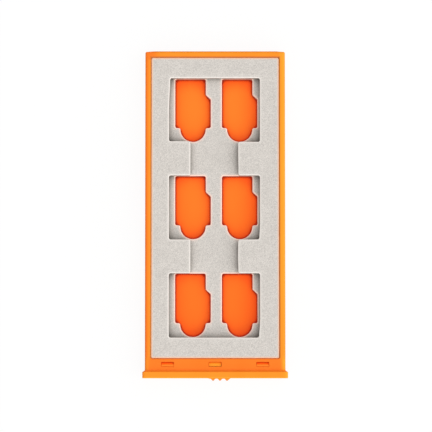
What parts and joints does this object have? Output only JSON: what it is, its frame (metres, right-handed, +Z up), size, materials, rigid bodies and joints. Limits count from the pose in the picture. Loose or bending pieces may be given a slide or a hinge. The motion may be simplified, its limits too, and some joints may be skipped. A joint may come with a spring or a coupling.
{
  "type": "memory card case drawer",
  "caption": "Pull-out drawer of a memory card case: moulded tray lined with die-cut foam pockets, and a front plate with a ridged thumb slide that raises a lock bolt.",
  "frame": {"origin": "under the middle of the whole drawer, at the lower edge of the front plate, which it rests on", "axes": "+X to the right seen from above with the front plate nearest, +Y from the front plate to the rear end, +Z up out of the pockets"},
  "size_m": [0.0464, 0.1056, 0.0082],
  "materials": {
    "tray_plastic": "satin",
    "plate_plastic": "satin",
    "pin_steel": "satin",
    "adhesive_film": "matte",
    "foam": "matte"
  },
  "bodies": {
    "drawer": {"tray": "tray_plastic", "front_plate": "plate_plastic", "floor_adhesive": "adhesive_film", "foam_lower": "foam", "foam_adhesive": "adhesive_film", "foam_upper": "foam"},
    "slide": {"thumb_slide": "plate_plastic", "slide_carrier": "plate_plastic"},
    "bolt": {"lock_bolt": "plate_plastic", "cam_pin": "pin_steel"}
  },
  "joints": [
    {"name": "thumb_slide_travel", "type": "slide", "parent": "drawer", "child": "slide", "axis": [1, 0, 0], "range_m": [-0.0031, 0]},
    {"name": "bolt_lift", "type": "slide", "parent": "drawer", "child": "bolt", "axis": [0, 0, 1], "range_m": [0, 0.0009]}
  ],
  "couplings": [
    {"joint": "bolt_lift", "follows": "thumb_slide_travel", "ratio": -0.29032}
  ]
}
